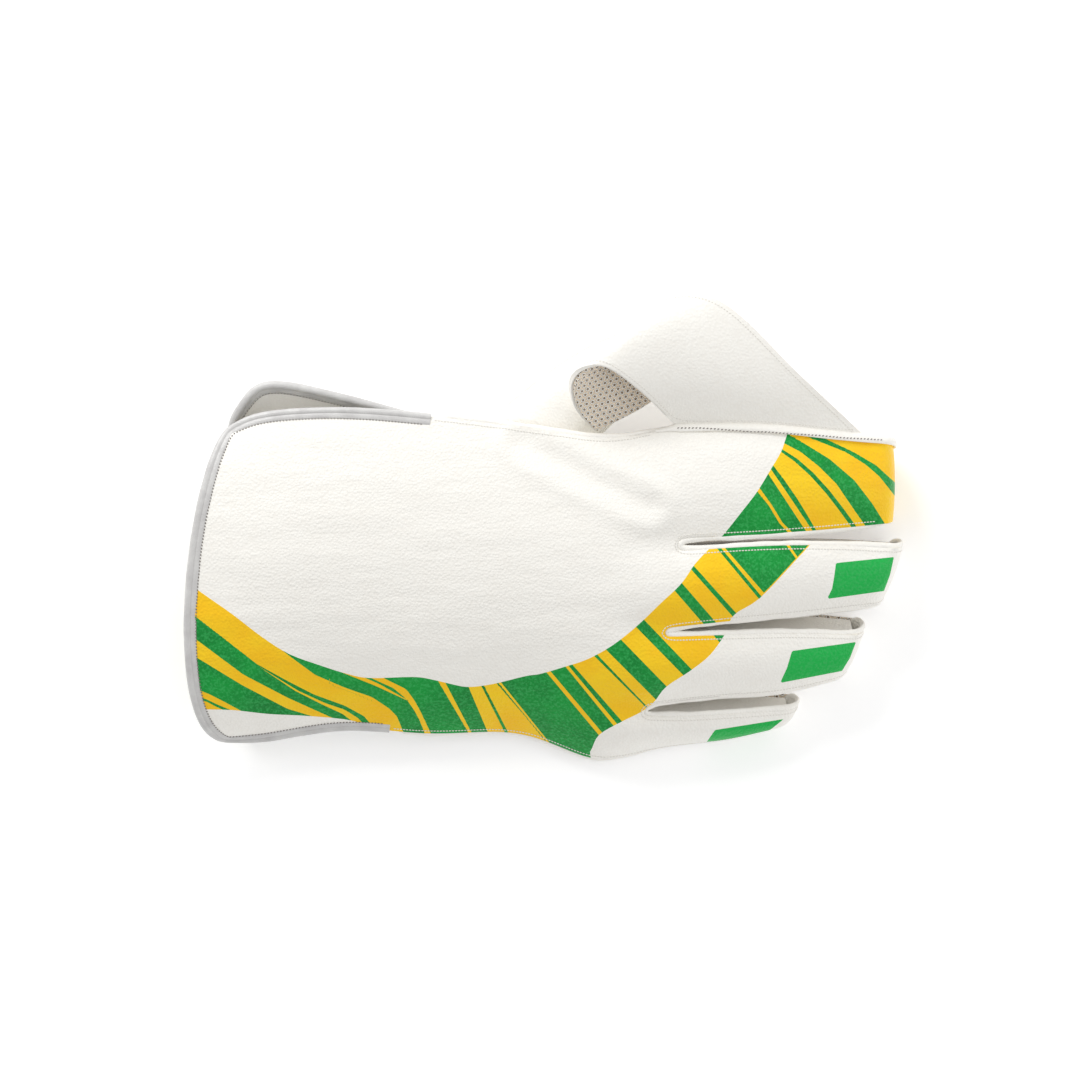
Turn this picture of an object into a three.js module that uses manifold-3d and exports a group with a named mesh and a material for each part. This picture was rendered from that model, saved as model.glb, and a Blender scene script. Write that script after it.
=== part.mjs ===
import * as THREE from "three";
import Module from "manifold-3d";

// Wicketkeeping glove for the right hand, palm down, fingertips towards +X, thumb side towards +Y.
// Every piece is a wall of leather or rubber with its outer face on a shape worked out below.

// Driving dimensions in millimetres
const GLOVE_LENGTH = 340;
const HAND_WIDTH = 152;
const CROWN_HEIGHT = 60;
const LEATHER_WALL = 2;
const RUBBER_WALL = 2.6;
const PIECE_GAP = 0.35;
const FINGER_CROWN = 4.5;
const TIP_BULGE = 4;
const THUMB_ROOT_WIDTH = 38;
const THUMB_DEPTH = 0.517 * CROWN_HEIGHT;
const BINDING_REACH = 3;
const BINDING_WALL = 1;

// Mesh fineness
const HAND_ROWS = 17;
const PALM_ROWS = 8;
const FINGER_ROWS = 9;
const TIP_ROWS = 3;
const SIDE_CELLS = 3;
const FINGER_CELLS = [5, 4, 4, 4];

// A table holds one row per section or station. Places are in thousandths: x of the glove's length
// from the edge of the cuff, y of the hand's width from its little side, z of the crown's height.
function table(names, rows) {
  const keys = names.split(" ");
  return rows.map((row) => Object.fromEntries(keys.map((key, i) => [key, row[i]])));
}

// Cross sections of the back, each shaped by four points from the thumb side to the little side
const BACK_SECTIONS = table(
  "xa ya za xb yb zb xc yc zc xd yd zd",
  [
    [62, 1026, 600, 12, 860, 950, -24, 80, 783, 55, 60, 233],
    [112, 1072, 633, 111, 743, 967, 111, 290, 833, 111, 62, 233],
    [222, 1086, 667, 222, 759, 967, 222, 356, 850, 222, 100, 233],
    [351, 1064, 683, 351, 743, 950, 351, 341, 850, 340, 80, 200],
    [479, 1028, 733, 479, 712, 967, 479, 325, 867, 463, 84, 150],
    [587, 997, 767, 593, 681, 1000, 590, 272, 867, 562, 3, 117],
    [678, 1034, 767, 703, 681, 983, 653, 211, 750, 615, 9, 100],
  ],
);

// Cross sections of the palm's rubber facing, from the wrist to the crotches of the fingers
const PALM_SECTIONS = table(
  "xa ya za xb yb zb xc yc zc xd yd zd",
  [
    [361, 1030, 83, 362, 805, -50, 354, 279, -50, 345, 99, 25],
    [479, 1009, 83, 479, 805, -50, 477, 279, -50, 463, 96, 25],
    [587, 991, 100, 590, 743, -50, 584, 248, -50, 562, 22, 25],
    [675, 1019, 283, 700, 681, 183, 653, 248, -67, 617, 31, 17],
  ],
);

// Cross sections of the palm side of the cuff, from its free edge to the wrist
const CUFF_SECTIONS = table(
  "xa ya za xb yb zb xc yc zc xd yd zd",
  [
    [67, 1068, 433, 36, 805, -67, 30, 341, -67, 76, 96, 36],
    [112, 1172, 450, 109, 929, -67, 109, 248, -67, 109, 80, 36],
    [222, 1130, 483, 222, 898, -67, 222, 310, -67, 222, 108, 36],
    [359, 1044, 500, 360, 867, -67, 352, 279, -67, 343, 99, 30],
  ],
);

// Fingers from crotch to tip: u and l are the back's seams on the thumb side and the little side,
// fu and fl the same seams of the facing
const FINGERS = {
  index: table(
    "xu yu zu xl yl zl yfu zfu yfl zfl",
    [
      [678, 1034, 767, 691, 690, 817, 1019, 283, 709, 217],
      [793, 1034, 767, 785, 700, 783, 1019, 250, 715, 200],
      [891, 1012, 700, 872, 715, 700, 1000, 167, 728, 133],
      [974, 997, 567, 974, 737, 567, 985, 50, 749, 33],
    ],
  ),
  middle: table(
    "xu yu zu xl yl zl yfu zfu yfl zfl",
    [
      [691, 650, 817, 674, 415, 700, 678, 217, 458, 150],
      [793, 666, 783, 776, 440, 650, 687, 200, 474, 133],
      [894, 669, 683, 869, 461, 567, 690, 117, 495, 83],
      [988, 659, 550, 960, 483, 450, 678, 33, 511, 17],
    ],
  ),
  ring: table(
    "xu yu zu xl yl zl yfu zfu yfl zfl",
    [
      [681, 387, 667, 638, 173, 467, 440, 133, 235, 17],
      [769, 393, 617, 735, 198, 417, 455, 117, 238, 17],
      [852, 396, 550, 825, 211, 367, 458, 67, 254, 0],
      [935, 390, 467, 910, 254, 300, 440, 0, 285, 0],
    ],
  ),
  little: table(
    "xu yu zu xl yl zl yfu zfu yfl zfl",
    [
      [641, 139, 433, 615, 9, 100, 207, 17, 31, 17],
      [700, 136, 400, 674, 40, 100, 211, 0, 62, 0],
      [776, 146, 350, 756, 62, 100, 211, 0, 84, 0],
      [845, 155, 283, 822, 105, 100, 201, 0, 118, 0],
    ],
  ),
};

// The web from its open edge at the crotch to its open edge at the tips: points 1 to 5 run from
// beside the index finger over the fold and back to the thumb, and along is the share of the index
const WEB_ROWS = table(
  "along x1 y1 z1 x2 y2 z2 x3 y3 z3 x4 y4 z4 x5 y5 z5",
  [
    [0, 631, 1136, 1017, 576, 1217, 1133, 535, 1189, 1000, 539, 1096, 783, 568, 1026, 620],
    [430, 731, 1183, 1017, 652, 1344, 1117, 598, 1310, 950, 612, 1207, 750, 642, 1110, 580],
    [860, 841, 1204, 933, 735, 1424, 1033, 653, 1415, 867, 670, 1319, 700, 706, 1232, 530],
  ],
);

// Centre line of the thumb, with its width and depth as shares of those at the root
const THUMB_STATIONS = table(
  "x y z wide deep",
  [
    [465, 972, 367, 1020, 1000],
    [536, 1102, 367, 1000, 1000],
    [584, 1186, 367, 895, 950],
    [634, 1248, 367, 790, 900],
    [668, 1308, 367, 700, 840],
  ],
);

// Interpolation
function mix(a, b, t) {
  return a + (b - a) * t;
}

function eased(t) {
  const k = Math.min(1, Math.max(0, t));
  return k * k * (3 - 2 * k);
}

function spline(rows, at) {
  const last = rows.length - 1;
  const i = Math.min(last - 1, Math.max(0, Math.floor(at)));
  const t = at - i;
  const out = {};
  for (const key of Object.keys(rows[0])) {
    const b = rows[i][key];
    const c = rows[i + 1][key];
    const a = i > 0 ? rows[i - 1][key] : 2 * b - c;
    const d = i + 2 <= last ? rows[i + 2][key] : 2 * c - b;
    const slopeB = (c - a) / 2;
    const slopeC = (d - b) / 2;
    const rise = c - b;
    out[key] = b + t * (slopeB + t * (3 * rise - 2 * slopeB - slopeC + t * (slopeB + slopeC - 2 * rise)));
  }
  return out;
}

function place(x, y, z) {
  return new THREE.Vector3(
    (x / 1000 - 0.5) * GLOVE_LENGTH,
    (y / 1000 - 0.5) * HAND_WIDTH,
    (z / 1000) * CROWN_HEIGHT,
  );
}

function across(section, t) {
  const k = 1 - t;
  const share = [k * k * k, 3 * k * k * t, 3 * k * t * t, t * t * t];
  const sum = (axis) =>
    ["a", "b", "c", "d"].reduce((total, key, i) => total + share[i] * section[axis + key], 0);
  return place(sum("x"), sum("y"), sum("z"));
}

function shareAt(section, y) {
  let low = 0;
  let high = 1;
  for (let i = 0; i < 40; i += 1) {
    const t = (low + high) / 2;
    if (across(section, t).y > place(0, y, 0).y) {
      low = t;
    } else {
      high = t;
    }
  }
  return (low + high) / 2;
}

// Walls: a surface and the same surface one wall further in, joined round every free edge
function wall(points, faces, thickness) {
  const normals = points.map(() => new THREE.Vector3());
  const edges = new Set();
  for (const face of faces) {
    const p = face.map((i) => points[i]);
    const normal = new THREE.Vector3().subVectors(p[2], p[0]).cross(
      new THREE.Vector3().subVectors(p[face.length - 1], p[1]),
    );
    face.forEach((i, k) => {
      normals[i].add(normal);
      edges.add(`${i} ${face[(k + 1) % face.length]}`);
    });
  }
  const inner = points.map((p, i) => p.clone().addScaledVector(normals[i].normalize(), -thickness));
  const count = points.length;
  const triangles = [];
  const add = (corners) => {
    for (let k = 1; k < corners.length - 1; k += 1) {
      triangles.push([corners[0], corners[k], corners[k + 1]]);
    }
  };
  for (const face of faces) {
    add(face);
    add(face.map((i) => i + count).reverse());
    face.forEach((a, k) => {
      const b = face[(k + 1) % face.length];
      if (!edges.has(`${b} ${a}`)) {
        add([b, a, a + count, b + count]);
      }
    });
  }
  return { points: [...points, ...inner], triangles };
}

function gridWall(rows, thickness, options = {}) {
  const { flip = false, ring = false, pole = null } = options;
  const wide = rows[0].length;
  const points = rows.flat();
  const faces = [];
  for (let r = 0; r < rows.length - 1; r += 1) {
    for (let c = 0; c < (ring ? wide : wide - 1); c += 1) {
      const d = (c + 1) % wide;
      const face = [r * wide + c, r * wide + d, (r + 1) * wide + d, (r + 1) * wide + c];
      faces.push(flip ? face.reverse() : face);
    }
  }
  if (pole) {
    const start = (rows.length - 1) * wide;
    for (let c = 0; c < wide; c += 1) {
      const face = [start + c, start + ((c + 1) % wide), points.length];
      faces.push(flip ? face.reverse() : face);
    }
    points.push(pole);
  }
  return wall(points, faces, thickness);
}

// Hand and fingers as shapes
const NAMES = Object.keys(FINGERS);
const CROTCH_ROW = BACK_SECTIONS.length - 1;
const PALM_CROTCH_ROW = PALM_SECTIONS.length - 1;
const BACK_SHARES = NAMES.map((name, i) => [
  i === 0 ? 0 : shareAt(BACK_SECTIONS[CROTCH_ROW], FINGERS[name][0].yu),
  i === 3 ? 1 : shareAt(BACK_SECTIONS[CROTCH_ROW], FINGERS[name][0].yl),
]);
const PALM_SHARES = NAMES.map((name, i) => [
  i === 0 ? 0 : shareAt(PALM_SECTIONS[PALM_CROTCH_ROW], FINGERS[name][0].yfu),
  i === 3 ? 1 : shareAt(PALM_SECTIONS[PALM_CROTCH_ROW], FINGERS[name][0].yfl),
]);

function fingerRow(name, s) {
  const row = spline(FINGERS[name], s * (FINGERS[name].length - 1));
  const up = place(row.xu, row.yu, row.zu);
  const low = place(row.xl, row.yl, row.zl);
  const facingUp = place(row.xu, row.yfu, row.zfu);
  const facingLow = place(row.xl, row.yfl, row.zfl);
  return { up, low, facingUp, facingLow };
}

function crownShape(a) {
  return 1 - Math.abs(2 * a - 1) ** 2.4;
}

function fingerNormal(name, s) {
  const row = fingerRow(name, s);
  const ahead = fingerRow(name, Math.min(1, s + 0.02)).up;
  const behind = fingerRow(name, Math.max(0, s - 0.02)).up;
  return new THREE.Vector3().subVectors(row.low, row.up).cross(ahead.sub(behind)).normalize();
}

function fingerBackOnly(name, s, a) {
  const row = fingerRow(name, s);
  const point = row.up.clone().lerp(row.low, a);
  return point.addScaledVector(fingerNormal(name, s), FINGER_CROWN * crownShape(a));
}

function handBack(v, t, crown) {
  const point = across(spline(BACK_SECTIONS, v), t);
  point.z += FINGER_CROWN * crown * eased((v - CROTCH_ROW + 1.3) / 1.3);
  return point;
}

function fingerBack(index, s, a) {
  const name = NAMES[index];
  const [from, to] = BACK_SHARES[index];
  const point = fingerBackOnly(name, s, a);
  const root = handBack(CROTCH_ROW, mix(from, to, a), crownShape(a));
  const step = root.sub(fingerBackOnly(name, 0, a));
  return point.addScaledVector(step, 1 - eased(s / 0.6));
}

function handPalm(v, t) {
  const point = across(spline(PALM_SECTIONS, v), t);
  point.z = Math.max(0, point.z);
  return point;
}

function fingerPalm(index, s, a) {
  const row = fingerRow(NAMES[index], s);
  const root = fingerRow(NAMES[index], 0);
  const [from, to] = PALM_SHARES[index];
  const point = row.facingUp.clone().lerp(row.facingLow, a);
  const step = handPalm(PALM_CROTCH_ROW, mix(from, to, a)).sub(root.facingUp.lerp(root.facingLow, a));
  point.addScaledVector(step, 1 - eased(s / 0.6));
  point.z = Math.max(0, point.z);
  return point;
}

// A sheet over the hand that parts into four strips at the crotches
function sheetColumns(shares) {
  const columns = [];
  FINGER_CELLS.forEach((cells, finger) => {
    for (let k = 0; k <= cells; k += 1) {
      const a = k / cells;
      columns.push({ finger, a, t: mix(shares[finger][0], shares[finger][1], a) });
    }
  });
  return columns;
}

function handSheet(handRows, handPoint, fingerPoint, shares, thickness, flip, crownAt) {
  const columns = sheetColumns(shares);
  const rows = handRows.map((v) => columns.map((c) => handPoint(v, c.t, crownAt(c.a))));
  const split = rows.length - 1;
  for (let k = 1; k <= FINGER_ROWS + fingerPoint.extra; k += 1) {
    rows.push(columns.map((c) => fingerPoint.at(c.finger, k, c.a)));
  }
  const wide = columns.length;
  const faces = [];
  for (let r = 0; r < rows.length - 1; r += 1) {
    for (let c = 0; c < wide - 1; c += 1) {
      if (r < split || columns[c].finger === columns[c + 1].finger) {
        const face = [r * wide + c, (r + 1) * wide + c, (r + 1) * wide + c + 1, r * wide + c + 1];
        faces.push(flip ? face.reverse() : face);
      }
    }
  }
  return wall(rows.flat(), faces, thickness);
}

function fingerLength(index) {
  return fingerBack(index, 0, 0.5).distanceTo(fingerBack(index, 1, 0.5));
}

function tipPoint(index, q, a) {
  const back = fingerBack(index, 1, a);
  const facing = fingerPalm(index, 1, a);
  const end = 1 - (RUBBER_WALL + 2 * PIECE_GAP) / back.distanceTo(facing);
  const forward = back.clone().sub(fingerBack(index, 0.9, a)).normalize();
  return back.lerp(facing, q * end).addScaledVector(forward, TIP_BULGE * Math.sin(Math.PI * q) ** 0.7);
}

const backRows = Array.from({ length: HAND_ROWS + 1 }, (_, k) => (k / HAND_ROWS) * CROTCH_ROW);
const backPanel = handSheet(
  backRows,
  handBack,
  {
    extra: TIP_ROWS,
    at: (finger, k, a) =>
      k <= FINGER_ROWS
        ? fingerBack(finger, k / FINGER_ROWS, a)
        : tipPoint(finger, (k - FINGER_ROWS) / TIP_ROWS, a),
  },
  BACK_SHARES,
  LEATHER_WALL,
  true,
  crownShape,
);

const palmRows = Array.from({ length: PALM_ROWS + 1 }, (_, k) => (k / PALM_ROWS) * PALM_CROTCH_ROW);
const palmFacing = handSheet(
  palmRows,
  handPalm,
  { extra: 0, at: (finger, k, a) => fingerPalm(finger, k / FINGER_ROWS, a) },
  PALM_SHARES,
  RUBBER_WALL,
  false,
  () => 0,
);

// Strips that stand between a seam of the back and the same seam of the facing
function standing(pairs, flip) {
  const rows = pairs.map(([top, bottom]) => {
    const high = top.distanceTo(bottom);
    const drop = top.z - bottom.z;
    const lean = Math.hypot(top.x - bottom.x, top.y - bottom.y) / high;
    const start = (LEATHER_WALL + 2 * PIECE_GAP) / high;
    const end = 1 - (RUBBER_WALL + 2 * PIECE_GAP + LEATHER_WALL * lean) / drop;
    const row = [];
    for (let k = 0; k <= SIDE_CELLS; k += 1) {
      row.push(top.clone().lerp(bottom, mix(start, end, k / SIDE_CELLS)));
    }
    return row;
  });
  return gridWall(rows, LEATHER_WALL, { flip });
}

function sideEnd(index) {
  return 1 - (LEATHER_WALL + 2 * PIECE_GAP) / fingerLength(index);
}

function fourchette(first, second) {
  const pairs = [];
  for (let k = FINGER_ROWS; k >= 0; k -= 1) {
    const s = (k / FINGER_ROWS) * sideEnd(first);
    pairs.push([fingerBack(first, s, 1), fingerPalm(first, s, 1)]);
  }
  for (let k = 0; k <= FINGER_ROWS; k += 1) {
    const s = (k / FINGER_ROWS) * sideEnd(second);
    pairs.push([fingerBack(second, s, 0), fingerPalm(second, s, 0)]);
  }
  return standing(pairs, true);
}

// Wall along the thumb side, from the wrist to the tip of the index finger
const WRIST_START = 0.17;
const sidePairs = [];
const SIDE_HAND_ROWS = 12;
for (let k = 0; k <= SIDE_HAND_ROWS; k += 1) {
  const w = (k / SIDE_HAND_ROWS) * PALM_CROTCH_ROW;
  const v = CROTCH_ROW - PALM_CROTCH_ROW + Math.max(w, WRIST_START + (1 - WRIST_START) * w);
  sidePairs.push([handBack(v, 0, 0), handPalm(w, 0)]);
}
for (let k = 1; k <= FINGER_ROWS; k += 1) {
  const s = (k / FINGER_ROWS) * sideEnd(0);
  sidePairs.push([fingerBack(0, s, 0), fingerPalm(0, s, 0)]);
}
const sideWhole = standing(sidePairs, true);

function sideY(x) {
  let y = -Infinity;
  for (let k = 0; k < sidePairs.length - 1; k += 1) {
    for (const end of [0, 1]) {
      const a = sidePairs[k][end];
      const b = sidePairs[k + 1][end];
      if (x >= Math.min(a.x, b.x) && x <= Math.max(a.x, b.x)) {
        y = Math.max(y, mix(a.y, b.y, (x - a.x) / (b.x - a.x || 1)));
      }
    }
  }
  return y;
}

// Thumb: a tube round a centre line, set on the side wall and closed by a dome
const THUMB_RING = 16;
const THUMB_ROWS = 8;
const DOME_ROWS = 3;

function thumbRing(at, inset, shrink) {
  const row = spline(THUMB_STATIONS, at);
  const ahead = spline(THUMB_STATIONS, at + 0.05);
  const centre = place(row.x, row.y, row.z);
  const along = place(ahead.x, ahead.y, ahead.z).sub(centre).normalize();
  const side = new THREE.Vector3(along.y, -along.x, 0).normalize();
  const halfWide = ((THUMB_ROOT_WIDTH / 2) * row.wide) / 1000 - inset;
  const halfDeep = ((THUMB_DEPTH / 2) * row.deep) / 1000 - inset;
  const ring = [];
  for (let k = 0; k < THUMB_RING; k += 1) {
    const angle = (k / THUMB_RING) * 2 * Math.PI;
    const c = Math.sign(Math.cos(angle)) * Math.abs(Math.cos(angle)) ** 0.85;
    const d = Math.sign(Math.sin(angle)) * Math.abs(Math.sin(angle)) ** 0.85;
    const point = centre.clone().addScaledVector(side, c * halfWide * shrink);
    point.z += d * halfDeep * shrink;
    ring.push(point);
  }
  return { ring, centre, along, halfWide };
}

function thumbRows(inset, rootY) {
  const last = THUMB_STATIONS.length - 1;
  const rows = [];
  for (let k = 0; k <= THUMB_ROWS; k += 1) {
    rows.push(thumbRing(mix(1, last, k / THUMB_ROWS), inset, 1).ring);
  }
  const root = rows[0].map((point, k) => {
    const back = point.clone().sub(thumbRing(0, inset, 1).ring[k]).normalize();
    const foot = point.clone();
    for (let n = 0; n < 12; n += 1) {
      foot.addScaledVector(back, (rootY(foot.x) - foot.y) / back.y);
    }
    return foot;
  });
  rows.unshift(root);
  const end = thumbRing(last, inset, 1);
  for (let k = 1; k < DOME_ROWS; k += 1) {
    const angle = (k / DOME_ROWS) * (Math.PI / 2);
    const ring = thumbRing(last, inset, Math.cos(angle)).ring;
    rows.push(ring.map((p) => p.addScaledVector(end.along, Math.sin(angle) * end.halfWide * 0.9)));
  }
  const pole = end.centre.clone().addScaledVector(end.along, end.halfWide * 0.9);
  return { rows, pole };
}

const thumbOuter = thumbRows(0, (x) => sideY(x) + PIECE_GAP);
const thumbStall = gridWall(thumbOuter.rows, LEATHER_WALL, {
  flip: true,
  ring: true,
  pole: thumbOuter.pole,
});

// The web arches from the index finger's seam to the thumb, white outside and rubber inside
const WEB_ACROSS = 14;
const WEB_ALONG = 7;

function webPoint(u, v) {
  const row = spline(WEB_ROWS, v * (WEB_ROWS.length - 1));
  const seam = fingerBack(0, row.along / 1000, 0);
  seam.y += 2 * PIECE_GAP;
  const points = [{ x: seam.x, y: seam.y, z: seam.z }];
  for (let k = 1; k <= 5; k += 1) {
    const p = place(row[`x${k}`], row[`y${k}`], row[`z${k}`]);
    points.push({ x: p.x, y: p.y, z: p.z });
  }
  const p = spline(points, u * 5);
  return new THREE.Vector3(p.x, p.y, p.z);
}

function webNormal(u, v) {
  const step = 0.01;
  const du = webPoint(Math.min(1, u + step), v).sub(webPoint(Math.max(0, u - step), v));
  const dv = webPoint(u, Math.min(1, v + step)).sub(webPoint(u, Math.max(0, v - step)));
  return dv.cross(du).normalize();
}

function webGrid(depth, uFrom, uTo, vFrom, vTo) {
  const rows = [];
  for (let i = 0; i <= WEB_ALONG; i += 1) {
    const v = mix(vFrom, vTo, i / WEB_ALONG);
    const row = [];
    for (let k = 0; k <= WEB_ACROSS; k += 1) {
      const u = mix(uFrom, uTo, k / WEB_ACROSS);
      row.push(webPoint(u, v).addScaledVector(webNormal(u, v), -depth));
    }
    rows.push(row);
  }
  return rows;
}

const web = gridWall(webGrid(0, 0, 1, 0, 1), LEATHER_WALL, { flip: true });
const webFacing = gridWall(
  webGrid(LEATHER_WALL + PIECE_GAP, 0.03, 0.985, 0.015, 0.985),
  LEATHER_WALL,
  { flip: true },
);

// Palm side of the cuff, flat where it rests
const CUFF_ROWS = 9;
const CUFF_ACROSS = 16;
const CUFF_LAST = CUFF_SECTIONS.length - 1;
const BINDING_CLEAR = 3 * PIECE_GAP;
const BINDING_DROP = BINDING_WALL + BINDING_CLEAR;

function cuffPoint(v, t) {
  const point = across(spline(CUFF_SECTIONS, v), t);
  const lift = 1.4 * BINDING_DROP * (1 - eased(v / 0.8));
  const above = point.z - lift;
  point.z = lift + (above + Math.hypot(above, RUBBER_WALL)) / 2;
  return point;
}

const cuffRows = [];
for (let i = 0; i <= CUFF_ROWS; i += 1) {
  const row = [];
  for (let k = 0; k <= CUFF_ACROSS; k += 1) {
    row.push(cuffPoint((i / CUFF_ROWS) * CUFF_LAST, k / CUFF_ACROSS));
  }
  cuffRows.push(row);
}
const palmCuff = gridWall(cuffRows, LEATHER_WALL, { flip: true });

// Bindings: a channel over the free edge of a flap
function binding(surface, outward, path) {
  const reach = BINDING_REACH;
  const far = LEATHER_WALL + BINDING_CLEAR;
  const profile = [
    [reach, BINDING_CLEAR],
    [reach, BINDING_DROP],
    [-BINDING_DROP, BINDING_DROP],
    [-BINDING_DROP, -far - BINDING_WALL],
    [reach, -far - BINDING_WALL],
    [reach, -far],
    [-BINDING_CLEAR, -far],
    [-BINDING_CLEAR, BINDING_CLEAR],
  ];
  const centre = surface(1.5, 0.5);
  const rings = path.map(([v, t], i) => {
    const point = surface(v, t);
    const before = surface(...path[Math.max(0, i - 1)]);
    const after = surface(...path[Math.min(path.length - 1, i + 1)]);
    const along = after.sub(before).normalize();
    const step = 0.02;
    const dv = surface(v + step, t).sub(surface(v - step, t));
    const dt = surface(v, Math.min(1, t + step)).sub(surface(v, Math.max(0, t - step)));
    const normal = dt.cross(dv).normalize().multiplyScalar(outward);
    const inward = normal.clone().cross(along).normalize();
    if (inward.dot(centre.clone().sub(point)) < 0) {
      inward.negate();
    }
    return profile.map(([a, b]) =>
      point.clone().addScaledVector(inward, a).addScaledVector(normal, b),
    );
  });
  const count = profile.length;
  const points = rings.flat();
  const triangles = [];
  for (let r = 0; r < rings.length - 1; r += 1) {
    for (let k = 0; k < count; k += 1) {
      const n = (k + 1) % count;
      const a = r * count + k;
      const b = r * count + n;
      const c = (r + 1) * count + n;
      const d = (r + 1) * count + k;
      triangles.push([a, b, c], [a, c, d]);
    }
  }
  const caps = [[0, 1, 2], [0, 2, 7], [2, 3, 7], [7, 3, 6], [3, 4, 6], [6, 4, 5]];
  const last = (rings.length - 1) * count;
  for (const [a, b, c] of caps) {
    triangles.push([a, c, b], [last + a, last + b, last + c]);
  }
  if (outward < 0) {
    triangles.forEach((corners) => corners.reverse());
  }
  return { points, triangles };
}

function flapPath(rows, shares, from, to) {
  const near = rows.filter((v) => v <= from).reverse();
  const far = rows.filter((v) => v > 0 && v <= to);
  return [
    ...near.map((v) => [v, 0]),
    ...shares.slice(1, -1).map((t) => [0, t]),
    [0, 1],
    ...far.map((v) => [v, 1]),
  ];
}

const backEdge = flapPath(backRows, sheetColumns(BACK_SHARES).map((c) => c.t), 3, 2.5);
const cuffShares = Array.from({ length: CUFF_ACROSS + 1 }, (_, k) => k / CUFF_ACROSS);
const cuffStations = Array.from({ length: CUFF_ROWS + 1 }, (_, i) => (i / CUFF_ROWS) * CUFF_LAST);
const cuffEdge = flapPath(cuffStations, cuffShares, 2.7, 2.4);
const backBinding = binding((v, t) => handBack(v, t, 0), 1, backEdge);
const cuffBinding = binding(cuffPoint, -1, cuffEdge);

// The thumb's opening through the side wall
const wasm = await Module();
wasm.setup();

function toManifold({ points, triangles }) {
  const mesh = new wasm.Mesh({
    numProp: 3,
    vertProperties: new Float32Array(points.flatMap((p) => [p.x, p.y, p.z])),
    triVerts: new Uint32Array(triangles.flat()),
  });
  return new wasm.Manifold(mesh);
}

function fromManifold(solid) {
  const mesh = solid.getMesh();
  const points = [];
  for (let i = 0; i < mesh.vertProperties.length; i += mesh.numProp) {
    points.push(new THREE.Vector3().fromArray(mesh.vertProperties, i));
  }
  const triangles = [];
  for (let i = 0; i < mesh.triVerts.length; i += 3) {
    triangles.push([mesh.triVerts[i], mesh.triVerts[i + 1], mesh.triVerts[i + 2]]);
  }
  return { points, triangles };
}

function capped({ rows, pole }) {
  const wide = rows[0].length;
  const points = rows.flat();
  const triangles = [];
  const start = (rows.length - 1) * wide;
  const foot = rows[0].reduce((sum, p) => sum.add(p), new THREE.Vector3()).divideScalar(wide);
  points.push(pole, foot);
  for (let r = 0; r < rows.length - 1; r += 1) {
    for (let c = 0; c < wide; c += 1) {
      const d = (c + 1) % wide;
      triangles.push([r * wide + c, (r + 1) * wide + d, r * wide + d]);
      triangles.push([r * wide + c, (r + 1) * wide + c, (r + 1) * wide + d]);
    }
  }
  for (let c = 0; c < wide; c += 1) {
    const d = (c + 1) % wide;
    triangles.push([start + d, start + c, points.length - 2], [c, d, points.length - 1]);
  }
  return { points, triangles };
}

const OPENING_RIM = 1.5;
const opening = capped(
  thumbRows(LEATHER_WALL + OPENING_RIM, (x) => sideY(x) - 3 * LEATHER_WALL),
);
const sideCut = toManifold(sideWhole).subtract(toManifold(opening)).asOriginal().simplify(0.01);
const thumbSideWall = fromManifold(sideCut);

// Materials
const leather = () => new THREE.MeshStandardMaterial({ color: 0xf4f2ee, roughness: 0.55, metalness: 0 });
const rubber = () => new THREE.MeshStandardMaterial({ color: 0xc9b9a2, roughness: 0.8, metalness: 0 });
const vinyl = () => new THREE.MeshStandardMaterial({ color: 0xcfcccf, roughness: 0.5, metalness: 0 });

// Assembly, with the origin under the middle of the glove's box
const group = new THREE.Group();
group.name = "wicketkeeping_glove";

function addPiece(name, solid, material) {
  const geometry = new THREE.BufferGeometry();
  const corners = solid.triangles.flat().flatMap((i) => solid.points[i].toArray());
  geometry.setAttribute("position", new THREE.Float32BufferAttribute(corners, 3));
  geometry.computeVertexNormals();
  const mesh = new THREE.Mesh(geometry, material);
  mesh.name = name;
  group.add(mesh);
}

addPiece("back_panel", backPanel, leather());
addPiece("palm_facing", palmFacing, rubber());
addPiece("thumb_side_wall", thumbSideWall, leather());
addPiece("fourchette_index_middle", fourchette(0, 1), leather());
addPiece("fourchette_middle_ring", fourchette(1, 2), leather());
addPiece("fourchette_ring_little", fourchette(2, 3), leather());
addPiece("thumb_stall", thumbStall, leather());
addPiece("web", web, leather());
addPiece("web_facing", webFacing, rubber());
addPiece("palm_cuff", palmCuff, leather());
addPiece("back_cuff_binding", backBinding, vinyl());
addPiece("palm_cuff_binding", cuffBinding, vinyl());

const box = new THREE.Box3().setFromObject(group);
const middle = box.getCenter(new THREE.Vector3());
for (const mesh of group.children) {
  mesh.geometry.translate(-middle.x, -middle.y, -box.min.z);
}

export default group;
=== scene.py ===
import math

import bmesh
import bpy
import numpy as np
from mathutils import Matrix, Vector, noise
from mathutils.bvhtree import BVHTree


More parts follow.
